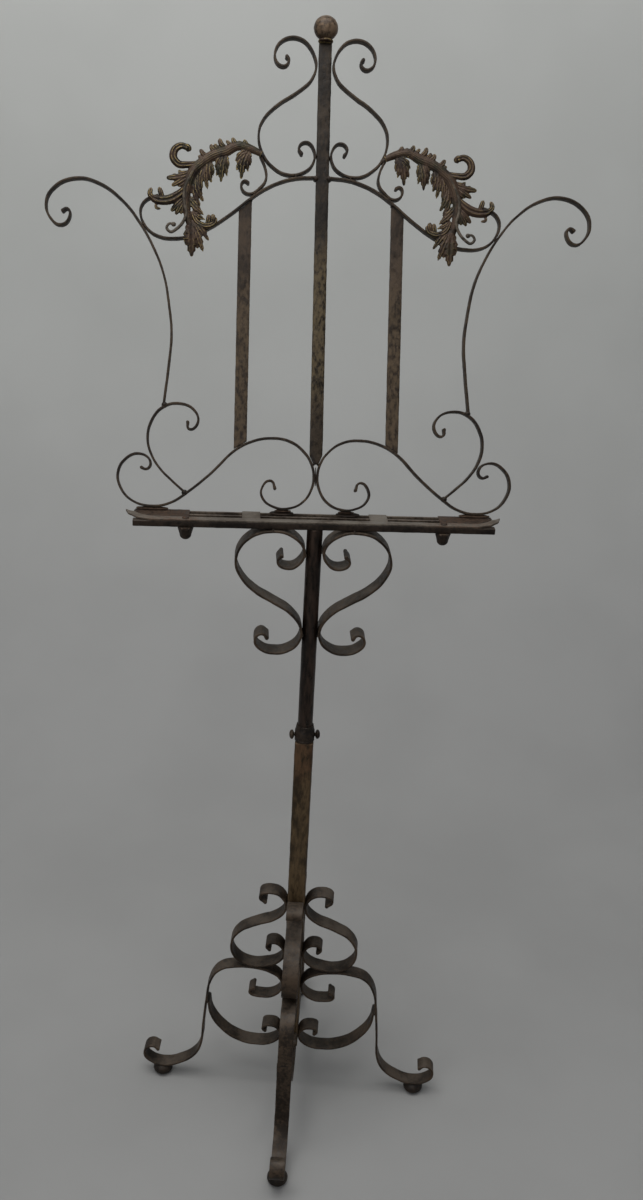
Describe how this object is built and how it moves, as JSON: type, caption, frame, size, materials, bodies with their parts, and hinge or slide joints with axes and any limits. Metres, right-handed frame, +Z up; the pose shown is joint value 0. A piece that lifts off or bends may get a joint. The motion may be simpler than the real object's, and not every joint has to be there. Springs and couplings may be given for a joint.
{
  "type": "wrought-iron lectern stand",
  "caption": "Floor-standing wrought-iron lectern: a leaning scroll-work desk with a book ledge on a telescopic post with scroll legs.",
  "frame": {"origin": "on the floor, in the middle of the stand's bounding box; the post's axis is 31.2 mm in front of it", "axes": "+Z up, +X to the right as a reader sees it, the reader stands on the -Y side"},
  "size_m": [0.721, 0.5294, 1.5786],
  "materials": {
    "bronze_paint": "worn dark bronze paint over hammered iron, satin",
    "dark_iron": "near-black painted iron, satin",
    "worn_gilt": "dark paint rubbed with old gold on the high spots",
    "light_bronze": "dusty bronze-brown paint, dull"
  },
  "bodies": {
    "base": {"lower_tube": "bronze_paint", "leg_front": "bronze_paint", "leg_left": "bronze_paint", "leg_right": "bronze_paint", "leg_back": "bronze_paint", "upper_scroll_front": "bronze_paint", "upper_scroll_left": "bronze_paint", "upper_scroll_right": "bronze_paint", "upper_scroll_back": "bronze_paint", "brace_front": "bronze_paint", "brace_left": "bronze_paint", "brace_right": "bronze_paint", "brace_back": "bronze_paint", "foot_front": "dark_iron", "foot_left": "dark_iron", "foot_right": "dark_iron", "foot_back": "dark_iron"},
    "collar": {"collar": "dark_iron"},
    "upper_stand": {"acanthus_left": "worn_gilt", "acanthus_right": "worn_gilt", "arch_rail_left": "bronze_paint", "arch_rail_right": "bronze_paint", "arm_left": "bronze_paint", "arm_right": "bronze_paint", "cap_nut_left": "bronze_paint", "cap_nut_right": "bronze_paint", "centre_bar": "bronze_paint", "desk_pad_left": "light_bronze", "desk_pad_right": "light_bronze", "end_plate_left": "light_bronze", "end_plate_right": "light_bronze", "finial_ball": "bronze_paint", "finial_ring": "worn_gilt", "heart_scroll_left": "bronze_paint", "heart_scroll_right": "bronze_paint", "ledge_back_bar": "dark_iron", "ledge_bolt_left": "dark_iron", "ledge_bolt_right": "dark_iron", "ledge_front_bar": "light_bronze", "ledge_middle_bar": "dark_iron", "ledge_strap_left": "light_bronze", "ledge_strap_right": "light_bronze", "lower_scroll_left": "bronze_paint", "lower_scroll_right": "bronze_paint", "rail": "dark_iron", "scroll_tie": "bronze_paint", "side_bar_left": "light_bronze", "side_bar_right": "light_bronze", "side_scroll_left": "bronze_paint", "side_scroll_right": "bronze_paint", "small_scroll_left": "bronze_paint", "small_scroll_right": "bronze_paint", "top_scroll_left": "bronze_paint", "top_scroll_right": "bronze_paint", "upper_tube": "dark_iron"},
    "stud_left": {"thumbscrew_stud_left": "dark_iron"},
    "stud_right": {"thumbscrew_stud_right": "dark_iron"},
    "knob_left": {"thumbscrew_knob_left": "bronze_paint"},
    "knob_right": {"thumbscrew_knob_right": "bronze_paint"}
  },
  "joints": [
    {"name": "swivel", "type": "hinge", "parent": "base", "child": "collar", "pos_m": [0, -0.0312, 0.645], "axis": [0, 0, 1], "continuous": true},
    {"name": "height", "type": "slide", "parent": "collar", "child": "upper_stand", "axis": [0, 0, 1], "range_m": [-0.1, 0.25]},
    {"name": "screw_travel_left", "type": "slide", "parent": "collar", "child": "stud_left", "axis": [-1, 0, 0], "range_m": [0, 0.0025]},
    {"name": "screw_turn_left", "type": "hinge", "parent": "stud_left", "child": "knob_left", "pos_m": [-0.0153, -0.0312, 0.654], "axis": [-1, 0, 0], "range_deg": [0, 720]},
    {"name": "screw_travel_right", "type": "slide", "parent": "collar", "child": "stud_right", "axis": [1, 0, 0], "range_m": [0, 0.0025]},
    {"name": "screw_turn_right", "type": "hinge", "parent": "stud_right", "child": "knob_right", "pos_m": [0.0153, -0.0312, 0.654], "axis": [1, 0, 0], "range_deg": [0, 720]}
  ],
  "couplings": [
    {"joint": "screw_travel_left", "follows": "screw_turn_left", "m_per_rad": 0.0001989},
    {"joint": "screw_travel_right", "follows": "screw_turn_right", "m_per_rad": 0.0001989}
  ]
}
